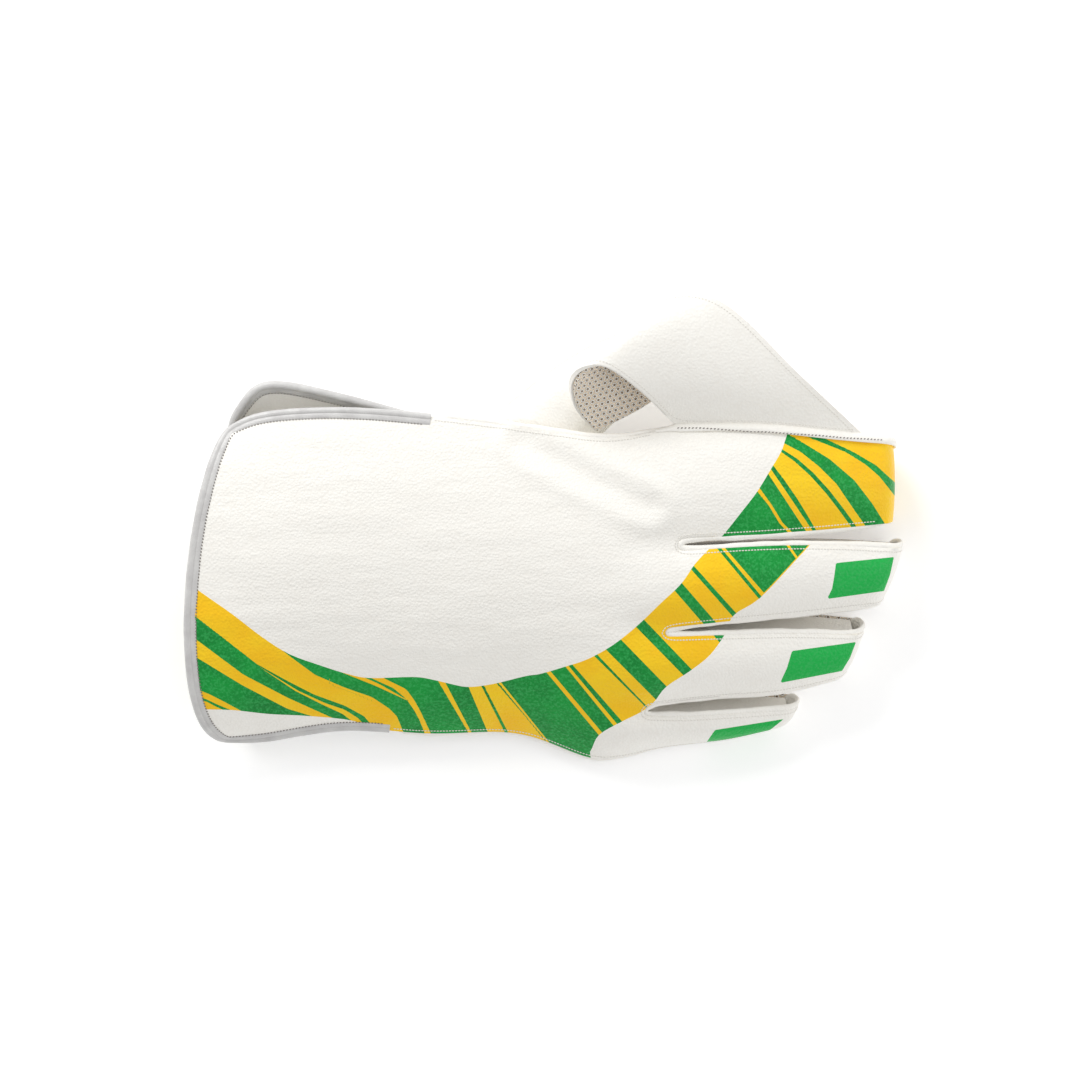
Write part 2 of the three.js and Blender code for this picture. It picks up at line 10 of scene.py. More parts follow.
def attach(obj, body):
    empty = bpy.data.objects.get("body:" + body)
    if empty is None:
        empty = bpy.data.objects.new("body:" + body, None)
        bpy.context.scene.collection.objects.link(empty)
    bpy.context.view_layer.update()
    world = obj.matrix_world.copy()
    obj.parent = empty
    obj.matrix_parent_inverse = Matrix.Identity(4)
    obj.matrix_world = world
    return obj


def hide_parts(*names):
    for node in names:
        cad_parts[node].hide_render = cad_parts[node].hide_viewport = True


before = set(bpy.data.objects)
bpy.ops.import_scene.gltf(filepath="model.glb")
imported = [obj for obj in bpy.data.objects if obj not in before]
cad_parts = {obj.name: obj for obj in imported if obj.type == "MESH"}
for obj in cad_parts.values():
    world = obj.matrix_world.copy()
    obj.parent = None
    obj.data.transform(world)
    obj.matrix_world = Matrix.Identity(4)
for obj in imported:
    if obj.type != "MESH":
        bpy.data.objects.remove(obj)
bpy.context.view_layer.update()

# Camera
# Looks straight down on the glove as it lies palm down, from so far off that little is
# foreshortened.
# A place on the glove can be given by where it shows, in points of a view 1080 points wide.
POINT = 0.00047
CAMERA_PLACE = Vector((-0.00235, -0.00508, 2.0))
GLOVE_MIDDLE_HEIGHT = 0.03
VIEW_REACH = (CAMERA_PLACE.z - GLOVE_MIDDLE_HEIGHT) / POINT

camera_data = bpy.data.cameras.new("camera")
camera = bpy.data.objects.new("camera", camera_data)
bpy.context.scene.collection.objects.link(camera)
camera.location = CAMERA_PLACE
camera_data.sensor_width = 36
camera_data.lens = camera_data.sensor_width * VIEW_REACH / 1080
bpy.context.scene.camera = camera


def seen(places):
    """Where places on the glove show, in points of the view."""
    reach = VIEW_REACH / (CAMERA_PLACE.z - places[:, 2])
    across = 540 + (places[:, 0] - CAMERA_PLACE.x) * reach
    down = 540 - (places[:, 1] - CAMERA_PLACE.y) * reach
    return np.stack([across, down], axis=1)


# Back of the glove
# One piece of white pebbled leather that covers the back of the hand, the four fingers and the back
# flap of the cuff. It is printed with stripes, and sewn to every other piece round its edge.
LEATHER_WALL = 0.002
EXACT = 0.00002
SHARP_EDGE = math.radians(45)
CORNER_TURN = math.radians(50)


def activate(piece):
    if bpy.context.object and bpy.context.object.mode != "OBJECT":
        bpy.ops.object.mode_set(mode="OBJECT")
    bpy.ops.object.select_all(action="DESELECT")
    piece.select_set(True)
    bpy.context.view_layer.objects.active = piece


def plain_copy(node, name):
    """A merged copy of a solid, with its flat squares joined."""
    piece = bpy.data.objects.new(name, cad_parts[node].data.copy())
    bpy.context.scene.collection.objects.link(piece)
    piece.data.materials.clear()
    activate(piece)
    bpy.ops.object.mode_set(mode="EDIT")
    bpy.ops.mesh.select_all(action="SELECT")
    bpy.ops.mesh.remove_doubles(threshold=1e-6)
    bpy.ops.mesh.tris_convert_to_quads(face_threshold=math.radians(60), shape_threshold=math.radians(75))
    bpy.ops.object.mode_set(mode="OBJECT")
    return piece


def cut_faces(mesh, wall):
    """The faces of a wall's cut edge: the only ones with an edge as long as the wall is thick."""
    return {f for e in mesh.edges if abs(e.calc_length() - wall) < EXACT for f in e.link_faces}


def smooth_copy(node, name, levels, wall=LEATHER_WALL):
    """A copy of a wall, smoothed and made finer, with its cut edges kept crisp."""
    piece = plain_copy(node, name)
    mesh = bmesh.new()
    mesh.from_mesh(piece.data)
    crease = mesh.edges.layers.float.new("crease_edge")
    rims = cut_faces(mesh, wall)
    for edge in mesh.edges:
        if sum(face in rims for face in edge.link_faces) == 1:
            edge[crease] = 1.0
            edge.seam = True
    corners = mesh.verts.layers.float.new("crease_vert")
    for vert in mesh.verts:
        ways = [(e.other_vert(vert).co - vert.co).normalized() for e in vert.link_edges if e[crease] == 1.0]
        if len(ways) == 2 and ways[0].dot(ways[1]) > -math.cos(CORNER_TURN):
            vert[corners] = 1.0
    mesh.to_mesh(piece.data)
    mesh.free()
    smooth = piece.modifiers.new("Smooth", "SUBSURF")
    smooth.levels = levels
    smooth.render_levels = levels
    activate(piece)
    bpy.ops.object.modifier_apply(modifier=smooth.name)
    bpy.ops.object.shade_smooth_by_angle(angle=SHARP_EDGE)
    return piece


def places_of(piece):
    places = np.empty(len(piece.data.vertices) * 3)
    piece.data.vertices.foreach_get("co", places)
    return places.reshape(-1, 3)


def move_to(piece, places):
    piece.data.vertices.foreach_set("co", places.astype(np.float32).ravel())
    piece.data.update()


def add_values(piece, name, values):
    layer = piece.data.attributes.new(name, "FLOAT", "POINT")
    layer.data.foreach_set("value", values.astype(np.float32))


def signed_reach(points, line, beyond=80.0):
    """How far points are from an open line, in points of the view, more than 0 on its left-hand side."""
    line = np.array(line, float)
    first = line[0] - (line[1] - line[0]) / np.linalg.norm(line[1] - line[0]) * beyond
    last = line[-1] + (line[-1] - line[-2]) / np.linalg.norm(line[-1] - line[-2]) * beyond
    line = np.vstack([first, line, last])
    best = np.full(len(points), 1e9)
    sign = np.ones(len(points))
    for a, b in zip(line[:-1], line[1:]):
        d = b - a
        share = np.clip(((points - a) @ d) / (d @ d), 0, 1)
        gap = points - a - share[:, None] * d
        reach = np.hypot(gap[:, 0], gap[:, 1])
        side = np.where(d[0] * gap[:, 1] - d[1] * gap[:, 0] < 0, 1.0, -1.0)
        nearer = reach < best - 1e-9
        best = np.where(nearer, reach, best)
        sign = np.where(nearer, side, sign)
    return best * sign


def order_across(points, lines):
    """A value that grows by the stripes' width from each line to the next one."""
    reaches = np.array([signed_reach(points, line) for line in lines])
    for k in range(len(lines) - 2, -1, -1):
        reaches[k] = np.maximum(reaches[k], reaches[k + 1])
    middles = []
    for line in lines:
        line = np.array(line, float)
        middles.append(line.mean(axis=0) if len(line) == 2 else line[len(line) // 2])
    marks = [0.0]
    for k in range(1, len(lines)):
        gap = abs(signed_reach(middles[k][None], lines[k - 1])[0])
        marks.append(marks[-1] + max(1.4, gap))
    marks = np.array(marks)
    passed = (reaches >= 0).sum(axis=0)
    before = np.clip(passed - 1, 0, len(lines) - 1)
    after = np.clip(passed, 0, len(lines) - 1)
    index = np.arange(len(points))
    a, b = reaches[before, index], reaches[after, index]
    share = a / np.maximum(a - b, 1e-9)
    value = marks[before] + share * (marks[after] - marks[before])
    value = np.where(passed == 0, reaches[0], value)
    value = np.where(passed == len(lines), marks[-1] + reaches[-1], value)
    return value, marks


def curved(line, steps=4):
    """A smooth line through all the places given."""
    line = np.array(line, float)
    padded = np.vstack([2 * line[0] - line[1], line, 2 * line[-1] - line[-2]])
    out = []
    for a, b, c, d in zip(padded[:-3], padded[1:-2], padded[2:-1], padded[3:]):
        for step in range(steps):
            t = step / steps
            out.append(b + 0.5 * t * (c - a + t * (2 * a - 5 * b + 4 * c - d + t * (3 * (b - c) + d - a))))
    out.append(line[-1])
    return np.array(out)


# Upper edge of the printed band, and its lower edge, as they show on the glove
BAND_TOP = [
    (180, 577), (202, 593), (232, 614), (262, 637), (289, 654), (319, 665), (344, 673), (369, 678), (414, 677),
    (434, 680), (451, 684), (468, 687), (493, 684), (526, 676), (540, 674), (564, 667), (588, 659), (613, 645),
    (637, 626), (661, 603), (681, 584), (695, 564), (710, 548), (724, 534), (740, 514), (757, 492), (771, 469),
    (781, 452), (785, 441),
]
BAND_FOOT = [
    (175, 705), (197, 709), (232, 710), (269, 714), (309, 716), (354, 721), (372, 732), (400, 752), (576, 770),
    (590, 752), (599, 735), (621, 722), (641, 712), (654, 702), (666, 687), (690, 671), (710, 655), (725, 634),
    (734, 615), (760, 598), (797, 559), (809, 546), (822, 530),
]
# Both edges of every stripe of the hand in turn, from the cuff on. The first stripe is yellow.
STRIPE_LINES = [
    [(191.9, 688.6), (208.7, 694.9), (222.1, 701.6), (235.5, 708.8)],
    [(195.3, 657.6), (243.1, 686.3), (287.1, 709.2), (312, 716.5)],
    [(198.2, 641.3), (243.1, 674.8), (287.1, 697.7), (329.2, 716.9)],
    [(200.1, 620.8), (256.5, 664.3), (285, 680), (313.9, 694.7), (345, 706), (364, 716.5), (372, 727)],
    [(180, 560), (215, 590), (245, 617), (258, 630.5), (270, 644), (287.1, 657.6), (313.9, 676.7),
     (342.6, 688.2), (371.3, 697.7), (388.5, 709.2), (396.2, 716.9), (403.8, 736)],
    [(352, 655), (369, 677.5), (393, 688), (406, 699), (414, 710), (420, 721), (424.9, 734)],
    [(366, 655), (383.7, 678.8), (406, 689.5), (414, 700.3), (420, 711.5), (430.6, 734)],
    [(437.3, 681.5), (467.7, 731.4)],
    [(445, 682.4), (470.8, 732.2)],
    [(467.9, 687.2), (485.8, 730.4)],
    [(481, 687.4), (503, 730.4)],
    [(484.9, 687.4), (506, 730.4)],
    [(494.4, 684.9), (539.4, 731.4)],
    [(499.2, 684.1), (544.2, 740)],
    [(501.6, 683.8), (546.6, 740)],
    [(547, 673), (599.7, 736.2)],
    [(550.4, 672.1), (602, 733.3)],
    [(565.2, 667.3), (614, 727.6)],
    [(568, 665.8), (616.9, 724.7)],
    [(571.9, 665), (621.7, 722.4)],
    [(592, 654.9), (640.8, 702.7)],
    [(595.8, 653.5), (643.7, 703.6)],
    [(603.5, 648.2), (653.2, 697.9)],
    [(619.2, 637.7), (667.6, 687.4)],
    [(635, 627.1), (682.9, 675.9)],
    [(643.7, 620.4), (691.5, 670.2)],
    [(675.2, 591.7), (719.2, 642.4)],
    [(681.9, 584.1), (725.9, 634.8)],
    [(691.8, 570.5), (731.1, 615.2)],
    [(694.2, 567), (736, 613.4)],
    [(714.1, 545.5), (758.8, 599.1)],
    [(717.8, 544.6), (761, 597.3)],
    [(720.8, 544.6), (763, 592.9)],
    [(784.6, 543.8), (796, 560)],
    [(788.2, 543.8), (799, 558.9)],
    [(812, 543), (814, 550)],
]
# Thin stripes that taper out, each between two lines, on a stripe of the other colour
THIN_STRIPES = [
    ([(270, 673.4), (298.6, 691), (325.4, 703.2), (344.5, 709.6), (357.9, 718), (366, 727)],
     [(270, 674), (294.8, 690.6), (321.6, 704.2), (342.6, 713.9), (353.1, 722)]),
    ([(358, 674.6), (380, 684.4), (404, 698)], [(344.5, 673.5), (375, 685.6), (404, 699)]),
    ([(190, 694.5), (206.8, 699.4), (216.3, 704), (228, 709)],
     [(190, 696.5), (206.8, 701.8), (216.3, 706.8), (228, 712)]),
]
THIN_STRIPE_AREAS = [
    [(262, 640), (250, 690), (350, 735), (400, 740), (380, 706), (300, 664)],
    [(330, 664), (330, 684), (400, 712), (420, 690), (370, 664)],
    [(180, 684), (180, 712), (240, 716), (240, 706), (200, 690)],
]
# The same for the index finger, whose first stripe is green
INDEX_LINES = [
    [(757.9, 492.9), (768.4, 505.4), (779.2, 523.2), (785.5, 530)],
    [(760.5, 490.2), (771.4, 505.4), (782.1, 523.2), (789.1, 530)],
    [(767.7, 474.1), (799.8, 523.2)],
    [(771.3, 470), (808.8, 525)],
    [(773.9, 466.8), (784, 480.4), (796, 498), (804.5, 512), (813.2, 527)],
    [(780.2, 451.8), (793.9, 461.5), (809.9, 476), (826, 493.9), (838.3, 509.9), (848, 523.2)],
    [(782.9, 450.4), (796.9, 459.3), (812.9, 473.4), (829, 491.3), (841.7, 507.3), (852.5, 522.3)],
    [(785, 443.8), (800.7, 451.8), (818.6, 466.1), (836.4, 483.9), (850.7, 505.4), (863.2, 523.2)],
    [(800.7, 441), (829.3, 458.9), (854.3, 480.4), (872.1, 503.6), (883.8, 522.3)],
    [(820.4, 442.5), (845.4, 451.8), (865, 464.3), (879.3, 476.8), (888.2, 488.4)],
    [(834.6, 444.3), (854.3, 453.6), (875.7, 466.1), (887.3, 476.8)],
    [(876, 436), (893, 447)],
]
INDEX_START = 1000.0
BEFORE_INDEX = INDEX_START - 60
PATCH_VALUE = -400.0
FINGERTIP_PATCHES = [
    [(836, 563), (894, 557), (890, 575), (884, 591), (827, 599), (832, 589), (834, 578)],
    [(792, 651), (856, 642), (850, 658), (842, 671), (780, 683), (787, 668)],
    [(715, 730), (784, 719), (770, 730), (751, 737), (706, 743)],
]
PATCH_DROP = 0.02
GAP_BESIDE_INDEX = [(640, 546), (683, 545), (760, 541), (915, 532)]


def inside_shape(points, corners):
    """How far points are inside a shape with the given corners, in points of the view."""
    corners = np.array(corners, float)
    best = np.full(len(points), 1e9)
    within = np.zeros(len(points), bool)
    for a, b in zip(corners, np.roll(corners, -1, axis=0)):
        d = b - a
        share = np.clip(((points - a) @ d) / (d @ d), 0, 1)
        gap = points - a - share[:, None] * d
        best = np.minimum(best, np.hypot(gap[:, 0], gap[:, 1]))
        crosses = (a[1] > points[:, 1]) != (b[1] > points[:, 1])
        where = a[0] + (points[:, 1] - a[1]) * d[0] / (d[1] if abs(d[1]) > 1e-9 else 1e-9)
        within ^= crosses & (points[:, 0] < where)
    return np.where(within, best, -best)


back = smooth_copy("back_panel", "back_leather", 3)
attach(back, "root")
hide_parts("back_panel")

# Wrinkles and the broad crease that runs from the thumb's root to the middle knuckle
CREASE_LINE = [(524, 443), (560, 462), (600, 484), (648, 505)]
CREASE_DEPTH = 0.0016
CREASE_REACH = 11
BULGE_HEIGHT = 0.0007
BULGE_PLACE = 22
BULGE_REACH = 9
BROAD_WRINKLE = 0.00035
FINE_WRINKLE = 0.00016
back_places = places_of(back)
view = seen(back_places)
crease_gap = signed_reach(view, CREASE_LINE, beyond=1.0)
bulge_gap = np.abs(crease_gap) - BULGE_PLACE
crease_depth = CREASE_DEPTH * np.exp(-((crease_gap / CREASE_REACH) ** 2))
crease_depth -= BULGE_HEIGHT * np.exp(-((bulge_gap / BULGE_REACH) ** 2))
wrinkle = np.array(
    [
        noise.noise(Vector((x * 22, y * 95, 1.3))) * BROAD_WRINKLE
        + noise.noise(Vector((x * 60, y * 240, 7.7))) * FINE_WRINKLE
        for x, y, _ in back_places
    ]
)
middle_of_back = np.clip((np.abs(back_places[:, 2]) - 0.008) / 0.02, 0, 1)
back_places[:, 2] += (wrinkle - crease_depth) * middle_of_back
move_to(back, back_places)

view = seen(places_of(back))
on_index = (signed_reach(view, GAP_BESIDE_INDEX) > 0) & (view[:, 0] > 690)
below_top = -signed_reach(view, curved(BAND_TOP))
above_foot = signed_reach(view, curved(BAND_FOOT))
hand_value, HAND_MARKS = order_across(view, STRIPE_LINES)
index_value, INDEX_MARKS = order_across(view, INDEX_LINES)
print_value = np.where(on_index, INDEX_START + index_value, np.clip(hand_value, -200, BEFORE_INDEX))
print_inside = np.where(on_index, below_top, np.minimum(below_top, above_foot))
back_heights = places_of(back)[:, 2]
for patch in FINGERTIP_PATCHES:
    inside = inside_shape(view, patch)
    # The patch doesn't come again on the finger's end, which lies below it in the view
    lowest = back_heights[inside > 0].max() - PATCH_DROP
    inside = np.where(back_heights > lowest, inside, -np.abs(inside) - 1)
    print_value = np.where(inside > print_inside, PATCH_VALUE, print_value)
    print_inside = np.maximum(print_inside, inside)
thin_upper = np.full(len(view), -5.0)
thin_lower = np.full(len(view), -5.0)
for (upper, lower), area in zip(THIN_STRIPES, THIN_STRIPE_AREAS):
    here = inside_shape(view, area) > 0
    thin_upper[here] = -signed_reach(view[here], upper)
    thin_lower[here] = signed_reach(view[here], lower)
add_values(back, "thin_upper", np.clip(thin_upper, -20, 20))
add_values(back, "thin_lower", np.clip(thin_lower, -20, 20))
add_values(back, "print_value", print_value)
add_values(back, "print_inside", np.clip(print_inside, -20, 20))


def new_group(name, inputs, outputs):
    """A node group; inputs and outputs are rows of a name, a kind of socket and a start value."""
    group = bpy.data.node_groups.new(name, "ShaderNodeTree")
    for title, kind, value in inputs:
        socket = group.interface.new_socket(title, in_out="INPUT", socket_type="NodeSocket" + kind)
        if value is not None:
            socket.default_value = value
    for title, kind in outputs:
        group.interface.new_socket(title, in_out="OUTPUT", socket_type="NodeSocket" + kind)
    return group, group.nodes.new("NodeGroupInput"), group.nodes.new("NodeGroupOutput")


def math_node(tree, operation, first, second=None, clamp=False):
    node = tree.nodes.new("ShaderNodeMath")
    node.operation = operation
    node.use_clamp = clamp
    for socket, value in zip(node.inputs, (first, second)):
        if value is None:
            continue
        if isinstance(value, (int, float)):
            socket.default_value = value
        else:
            tree.links.new(value, socket)
    return node.outputs[0]


def mix_colours(tree, share, first, second):
    node = tree.nodes.new("ShaderNodeMix")
    node.data_type = "RGBA"
    for socket, value in ((node.inputs[0], share), (node.inputs[6], first), (node.inputs[7], second)):
        if isinstance(value, (int, float)):
            socket.default_value = value
        elif isinstance(value, tuple):
            socket.default_value = value
        else:
            tree.links.new(value, socket)
    return node.outputs[2]


def rescale(tree, value, low, high, new_low=0.0, new_high=1.0):
    node = tree.nodes.new("ShaderNodeMapRange")
    node.inputs["From Min"].default_value = low
    node.inputs["From Max"].default_value = high
    node.inputs["To Min"].default_value = new_low
    node.inputs["To Max"].default_value = new_high
    tree.links.new(value, node.inputs["Value"])
    return node.outputs[0]


def noise_node(tree, vector, scale, detail=2.0, roughness=0.5):
    node = tree.nodes.new("ShaderNodeTexNoise")
    node.inputs["Scale"].default_value = scale
    node.inputs["Detail"].default_value = detail
    node.inputs["Roughness"].default_value = roughness
    tree.links.new(vector, node.inputs["Vector"])
    return node.outputs[0]


def stretched(tree, vector, scale):
    node = tree.nodes.new("ShaderNodeMapping")
    node.inputs["Scale"].default_value = scale
    tree.links.new(vector, node.inputs["Vector"])
    return node.outputs[0]


# Pebbled grain of the leather: small cells with soft furrows, and fine lines along the hand
grain, grain_in, grain_out = new_group(
    "leather_grain",
    [("Place", "Vector", None), ("Pebbles", "Float", 900.0), ("Lines", "Float", 0.5)],
    [("Height", "Float"), ("Furrows", "Float"), ("Mottling", "Float")],
)
pebbles = grain.nodes.new("ShaderNodeTexVoronoi")
pebbles.feature = "SMOOTH_F1"
pebbles.inputs["Smoothness"].default_value = 0.6
grain.links.new(grain_in.outputs["Place"], pebbles.inputs["Vector"])
grain.links.new(grain_in.outputs["Pebbles"], pebbles.inputs["Scale"])
lines = noise_node(grain, stretched(grain, grain_in.outputs["Place"], (0.14, 1.0, 1.0)), 620.0, 3.0, 0.6)
cloudy = noise_node(grain, grain_in.outputs["Place"], 160.0, 4.0, 0.6)
furrows = rescale(grain, pebbles.outputs["Distance"], 0.15, 0.75)
ridges = math_node(grain, "MULTIPLY", lines, grain_in.outputs["Lines"])
height = math_node(grain, "SUBTRACT", ridges, math_node(grain, "MULTIPLY", furrows, 0.6))
height = math_node(grain, "ADD", height, math_node(grain, "MULTIPLY", cloudy, 0.2))
grain.links.new(height, grain_out.inputs["Height"])
grain.links.new(furrows, grain_out.inputs["Furrows"])
grain.links.new(cloudy, grain_out.inputs["Mottling"])


def srgb(red, green, blue):
    """A colour given in steps from 0 to 255, as a shader needs it."""
    parts = [part / 255 for part in (red, green, blue)]
    return tuple(p / 12.92 if p <= 0.04045 else ((p + 0.055) / 1.055) ** 2.4 for p in parts) + (1.0,)


def new_material(name, roughness, specular=0.4):
    material = bpy.data.materials.new(name)
    material.use_nodes = True
    shader = material.node_tree.nodes["Principled BSDF"]
    shader.inputs["Roughness"].default_value = roughness
    shader.inputs["Specular IOR Level"].default_value = specular
    return material, material.node_tree, shader


def object_places(tree):
    return tree.nodes.new("ShaderNodeTexCoord").outputs["Object"]


def put_group(tree, group, **values):
    node = tree.nodes.new("ShaderNodeGroup")
    node.node_tree = group
    for title, value in values.items():
        if isinstance(value, (int, float, tuple)):
            node.inputs[title].default_value = value
        else:
            tree.links.new(value, node.inputs[title])
    return node


def bump(tree, shader, height, distance, strength=1.0):
    node = tree.nodes.new("ShaderNodeBump")
    node.inputs["Distance"].default_value = distance
    node.inputs["Strength"].default_value = strength
    tree.links.new(height, node.inputs["Height"])
    tree.links.new(node.outputs["Normal"], shader.inputs["Normal"])


def read_value(tree, name):
    node = tree.nodes.new("ShaderNodeAttribute")
    node.attribute_name = name
    return node.outputs["Fac"]


def give(piece, material):
    piece.data.materials.append(material)


WHITE_LEATHER = srgb(252, 250, 244)
# The leather's colour in shade: it is painted into the grain's furrows, and the broad random clouds use it
# too.
SHADED_LEATHER = srgb(240, 234, 225)
FRESH_GREEN = srgb(4, 154, 58)
DEEP_GREEN = srgb(4, 130, 50)
SPECKLED_GREEN = srgb(60, 184, 96)
PATCH_GREEN = srgb(20, 180, 76)
YELLOW = srgb(255, 212, 30)
DEEP_YELLOW = srgb(255, 199, 22)


def white_leather_colour(tree, grains):
    """Off-white with painted shade in the grain's furrows, and a little greyer in broad random clouds."""
    # Painted shade: the furrows of the grain are mixed toward the shaded leather colour.
    furrow_shade = math_node(tree, "MULTIPLY", grains.outputs["Furrows"], 0.22)
    cloud = rescale(tree, grains.outputs["Mottling"], 0.4, 0.8, 0.0, 0.2)
    return mix_colours(tree, math_node(tree, "ADD", furrow_shade, cloud, clamp=True), WHITE_LEATHER, SHADED_LEATHER)


printed_leather, tree, shader = new_material("printed_leather", 0.42, 0.28)
place = object_places(tree)
grains = put_group(tree, grain, Place=place, Pebbles=850.0, Lines=0.55)
value = read_value(tree, "print_value")
inside = read_value(tree, "print_inside")


def stripe_ramp(tree, value, marks, first_green, low, high):
    """1 where the value lies on a green stripe, and 0 on a yellow one."""
    node = tree.nodes.new("ShaderNodeValToRGB")
    node.color_ramp.interpolation = "CONSTANT"
    stops = node.color_ramp.elements
    stops[0].position = 0.0
    stops[0].color = (1.0, 1.0, 1.0, 1.0) if first_green else (0.0, 0.0, 0.0, 1.0)
    stops.remove(stops[1])
    green = first_green
    for mark in marks:
        green = not green
        stop = stops.new((mark - low) / (high - low))
        stop.color = (1.0, 1.0, 1.0, 1.0) if green else (0.0, 0.0, 0.0, 1.0)
    tree.links.new(rescale(tree, value, low, high), node.inputs[0])
    return node.outputs[0]


# A ramp holds no more than 32 stops, so that the hand's stripes are shared between two
RAMP_SHARE = 18
BEYOND_STRIPES = 30
split = (HAND_MARKS[RAMP_SHARE - 1] + HAND_MARKS[RAMP_SHARE]) / 2
hand_end = HAND_MARKS[-1] + BEYOND_STRIPES
index_end = INDEX_START + INDEX_MARKS[-1] + BEYOND_STRIPES
first_ramp = stripe_ramp(tree, value, HAND_MARKS[:RAMP_SHARE], False, -10.0, split)
second_ramp = stripe_ramp(tree, value, HAND_MARKS[RAMP_SHARE:], RAMP_SHARE % 2 == 1, split, hand_end)
index_ramp = stripe_ramp(tree, value, INDEX_START + INDEX_MARKS, True, BEFORE_INDEX, index_end)
green_share = mix_colours(tree, math_node(tree, "GREATER_THAN", value, split), first_ramp, second_ramp)
green_share = mix_colours(tree, math_node(tree, "GREATER_THAN", value, BEFORE_INDEX), green_share, index_ramp)
on_thin = math_node(
    tree,
    "MULTIPLY",
    math_node(tree, "GREATER_THAN", read_value(tree, "thin_upper"), 0.0),
    math_node(tree, "GREATER_THAN", read_value(tree, "thin_lower"), 0.0),
)
green_share = math_node(tree, "ABSOLUTE", math_node(tree, "SUBTRACT", green_share, on_thin))
is_patch = math_node(tree, "LESS_THAN", value, PATCH_VALUE / 2)
green_share = math_node(tree, "MAXIMUM", green_share, is_patch)
# The last stripes of the hand have a thin yellow edge
OUTLINE_WIDE = 1.1
past_hand = math_node(tree, "GREATER_THAN", value, float(HAND_MARKS[-4]))
before_index = math_node(tree, "LESS_THAN", value, BEFORE_INDEX)
outline = math_node(tree, "MULTIPLY", past_hand, before_index)
outline = math_node(tree, "MULTIPLY", outline, math_node(tree, "LESS_THAN", inside, OUTLINE_WIDE))
green_share = math_node(tree, "MULTIPLY", green_share, math_node(tree, "SUBTRACT", 1.0, outline))
speckle = rescale(tree, noise_node(tree, place, 780.0, 2.0, 0.6), 0.46, 0.62)
cloud = rescale(tree, noise_node(tree, place, 45.0, 3.0, 0.5), 0.35, 0.65)
green = mix_colours(tree, cloud, DEEP_GREEN, FRESH_GREEN)
green = mix_colours(tree, is_patch, green, PATCH_GREEN)
green = mix_colours(tree, math_node(tree, "MULTIPLY", speckle, 0.5), green, SPECKLED_GREEN)
yellow = mix_colours(tree, cloud, YELLOW, DEEP_YELLOW)
ink = mix_colours(tree, green_share, yellow, green)
printed = math_node(tree, "GREATER_THAN", inside, 0.0)
colour = mix_colours(tree, printed, white_leather_colour(tree, grains), ink)
tree.links.new(colour, shader.inputs["Base Color"])
bump(tree, shader, grains.outputs["Height"], 0.00026)
give(back, printed_leather)

# Leather walls of the fingers, thumb, web and cuff
# The same leather, unprinted, cut in strips and panels that are folded or curved. Each is sewn
# to the back of the glove or to the palm along its edges.
white_leather, tree, shader = new_material("white_leather", 0.46)
grains = put_group(tree, grain, Place=object_places(tree), Pebbles=850.0, Lines=0.5)
tree.links.new(white_leather_colour(tree, grains), shader.inputs["Base Color"])
bump(tree, shader, grains.outputs["Height"], 0.0002)

LEATHER_PIECES = (
    ("palm_cuff", "palm_cuff_leather", 3, (0.12, 0.18)),
    ("web", "web_leather", 3, (0.075, 0.14)),
    ("thumb_stall", "thumb_leather", 2, (0.125, 0.1)),
    ("thumb_side_wall", "thumb_side_leather", 1, (0.035, 0.21)),
    ("fourchette_index_middle", "side_strip_index_middle", 2, (0.041, 0.21)),
    ("fourchette_middle_ring", "side_strip_middle_ring", 2, (0.036, 0.2)),
    ("fourchette_ring_little", "side_strip_ring_little", 2, (0.022, 0.18)),
)
leather = {}
for node, name, levels, flat in LEATHER_PIECES:
    piece = smooth_copy(node, name, levels)
    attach(piece, "root")
    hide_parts(node)
    give(piece, white_leather)
    leather[node] = piece

# Dimpled rubber
# A thin moulded sheet with rows of ringed dimples that grips the ball: it faces the palm, the
# fingers and the inside of the web.
DIMPLE_PITCH = 0.003
PALM_RUBBER_WALL = 0.0026
dimples, dimples_in, dimples_out = new_group(
    "dimples",
    [("Place", "Vector", None), ("Pitch", "Float", DIMPLE_PITCH)],
    [("Height", "Float"), ("Ring", "Float"), ("Hole", "Float")],
)
apart = dimples.nodes.new("ShaderNodeSeparateXYZ")
dimples.links.new(dimples_in.outputs["Place"], apart.inputs[0])


def distance_to_rows(tree, across, up, pitch, shift):
    """Distance to the nearest point of one of the two square grids that make a hexagonal one."""
    parts = []
    for value, stretch in ((across, 1.0), (up, math.sqrt(3))):
        row = math_node(tree, "MULTIPLY", pitch, stretch)
        cell = math_node(tree, "ADD", math_node(tree, "DIVIDE", value, row), shift)
        off = math_node(tree, "SUBTRACT", math_node(tree, "FRACT", cell), 0.5)
        off = math_node(tree, "MULTIPLY", off, stretch)
        parts.append(math_node(tree, "MULTIPLY", off, off))
    return math_node(tree, "SQRT", math_node(tree, "ADD", *parts))


pitch = dimples_in.outputs["Pitch"]
nearest = math_node(
    dimples,
    "MINIMUM",
    distance_to_rows(dimples, apart.outputs[0], apart.outputs[1], pitch, 0.0),
    distance_to_rows(dimples, apart.outputs[0], apart.outputs[1], pitch, 0.5),
)
hole = rescale(dimples, nearest, 0.2, 0.12)
ring_start = rescale(dimples, nearest, 0.16, 0.24)
ring_end = rescale(dimples, nearest, 0.44, 0.34)
ring = math_node(dimples, "MULTIPLY", ring_start, ring_end)
dimples.links.new(math_node(dimples, "SUBTRACT", ring, hole), dimples_out.inputs["Height"])
dimples.links.new(ring, dimples_out.inputs["Ring"])
dimples.links.new(hole, dimples_out.inputs["Hole"])

